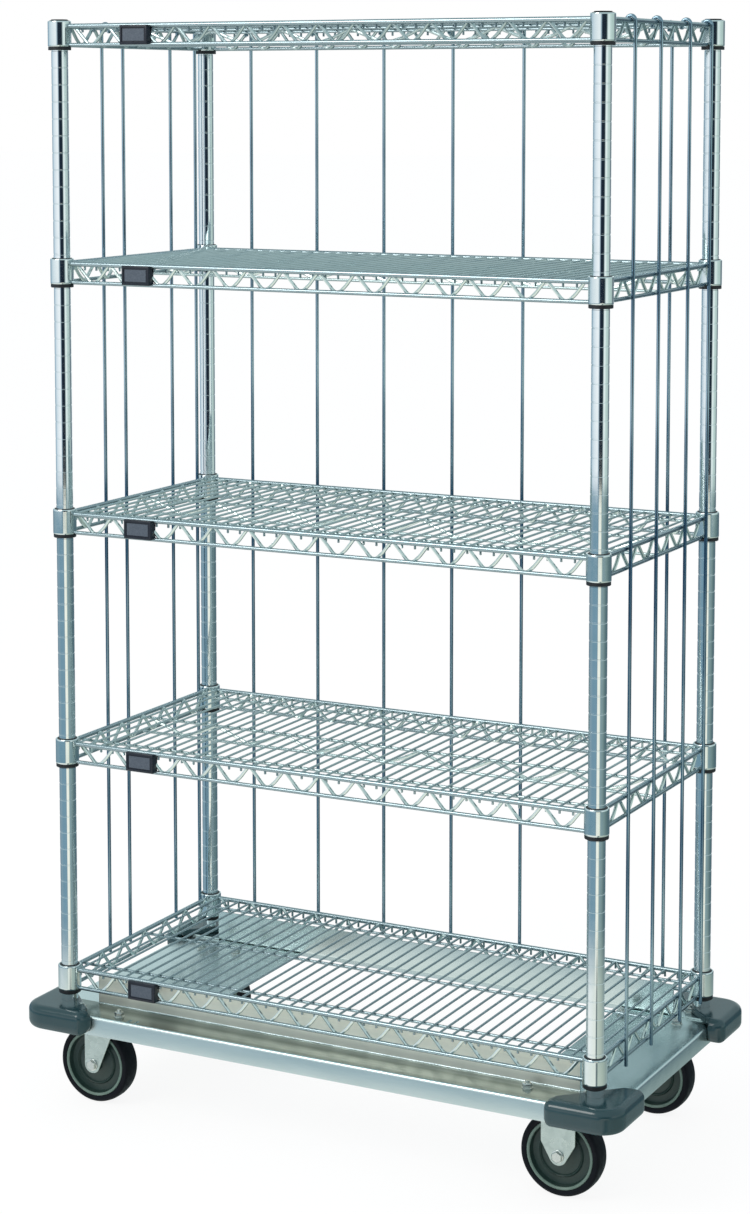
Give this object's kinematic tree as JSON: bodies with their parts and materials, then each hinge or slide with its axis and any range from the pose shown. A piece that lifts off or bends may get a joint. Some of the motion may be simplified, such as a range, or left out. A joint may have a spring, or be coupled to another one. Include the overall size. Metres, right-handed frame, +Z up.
{
  "type": "wire enclosure cart",
  "caption": "Mobile wire shelving cart: open-front wire shelves on grooved posts, hanging rods closing back and ends, sheet metal dolly with corner bumpers, swivel and rigid casters.",
  "frame": {"origin": "on the floor, under the middle of the cart's overall box", "axes": "+Z up; the open front faces -Y; the rigid casters are at +X and the swivel casters at -X"},
  "size_m": [0.9908, 0.5336, 1.6727],
  "materials": {
    "post_chrome": "polished chrome plate on grooved steel tube",
    "shelf_chrome": "bright chrome plate on welded wire",
    "rod_chrome": "bright chrome plate on round rod",
    "dolly_sheet": "smooth mill finish sheet",
    "bumper_vinyl": "moulded vinyl, soft gloss",
    "label_plastic": "moulded plastic, soft gloss",
    "cap_plastic": "moulded plastic",
    "caster_zinc": "bright zinc plate on pressed steel",
    "axle_zinc": "bright zinc plate",
    "hub_plastic": "moulded plastic",
    "tyre_rubber": "plain rubber tread"
  },
  "bodies": {
    "cart": {"post_front_left": "post_chrome", "post_front_right": "post_chrome", "post_back_left": "post_chrome", "post_back_right": "post_chrome", "post_cap_front_left": "cap_plastic", "post_cap_front_right": "cap_plastic", "post_cap_back_left": "cap_plastic", "post_cap_back_right": "cap_plastic", "shelf_bottom": "shelf_chrome", "shelf_lower": "shelf_chrome", "shelf_middle": "shelf_chrome", "shelf_upper": "shelf_chrome", "shelf_top": "shelf_chrome", "back_rod_1": "rod_chrome", "back_rod_2": "rod_chrome", "back_rod_3": "rod_chrome", "back_rod_4": "rod_chrome", "back_rod_5": "rod_chrome", "back_rod_6": "rod_chrome", "back_rod_7": "rod_chrome", "left_rod_1": "rod_chrome", "left_rod_2": "rod_chrome", "left_rod_3": "rod_chrome", "left_rod_4": "rod_chrome", "right_rod_1": "rod_chrome", "right_rod_2": "rod_chrome", "right_rod_3": "rod_chrome", "right_rod_4": "rod_chrome", "dolly_front_rail": "dolly_sheet", "dolly_back_rail": "dolly_sheet", "dolly_left_plate": "dolly_sheet", "dolly_right_pan": "dolly_sheet", "bumper_front_left": "bumper_vinyl", "bumper_front_right": "bumper_vinyl", "bumper_back_left": "bumper_vinyl", "bumper_back_right": "bumper_vinyl", "label_holder_bottom": "label_plastic", "label_holder_lower": "label_plastic", "label_holder_middle": "label_plastic", "label_holder_upper": "label_plastic", "label_holder_top": "label_plastic", "caster_front_left_top_plate": "caster_zinc", "caster_back_left_top_plate": "caster_zinc", "caster_front_right_fork": "caster_zinc", "caster_back_right_fork": "caster_zinc", "caster_front_right_axle_bolt": "axle_zinc", "caster_back_right_axle_bolt": "axle_zinc"},
    "swivel_front_left": {"caster_front_left_yoke": "caster_zinc", "caster_front_left_axle_bolt": "axle_zinc"},
    "swivel_back_left": {"caster_back_left_yoke": "caster_zinc", "caster_back_left_axle_bolt": "axle_zinc"},
    "wheel_front_left": {"caster_front_left_hub": "hub_plastic", "caster_front_left_tyre": "tyre_rubber"},
    "wheel_front_right": {"caster_front_right_hub": "hub_plastic", "caster_front_right_tyre": "tyre_rubber"},
    "wheel_back_left": {"caster_back_left_hub": "hub_plastic", "caster_back_left_tyre": "tyre_rubber"},
    "wheel_back_right": {"caster_back_right_hub": "hub_plastic", "caster_back_right_tyre": "tyre_rubber"}
  },
  "joints": [
    {"name": "swivel_front_left", "type": "hinge", "parent": "cart", "child": "swivel_front_left", "pos_m": [-0.377, -0.176, 0.14], "axis": [0, 0, 1], "continuous": true},
    {"name": "swivel_back_left", "type": "hinge", "parent": "cart", "child": "swivel_back_left", "pos_m": [-0.377, 0.176, 0.14], "axis": [0, 0, 1], "continuous": true},
    {"name": "roll_front_left", "type": "hinge", "parent": "swivel_front_left", "child": "wheel_front_left", "pos_m": [-0.409, -0.176, 0.062], "axis": [0, 1, 0], "continuous": true},
    {"name": "roll_front_right", "type": "hinge", "parent": "cart", "child": "wheel_front_right", "pos_m": [0.378, -0.176, 0.062], "axis": [0, 1, 0], "continuous": true},
    {"name": "roll_back_left", "type": "hinge", "parent": "swivel_back_left", "child": "wheel_back_left", "pos_m": [-0.409, 0.176, 0.062], "axis": [0, 1, 0], "continuous": true},
    {"name": "roll_back_right", "type": "hinge", "parent": "cart", "child": "wheel_back_right", "pos_m": [0.378, 0.176, 0.062], "axis": [0, 1, 0], "continuous": true}
  ]
}
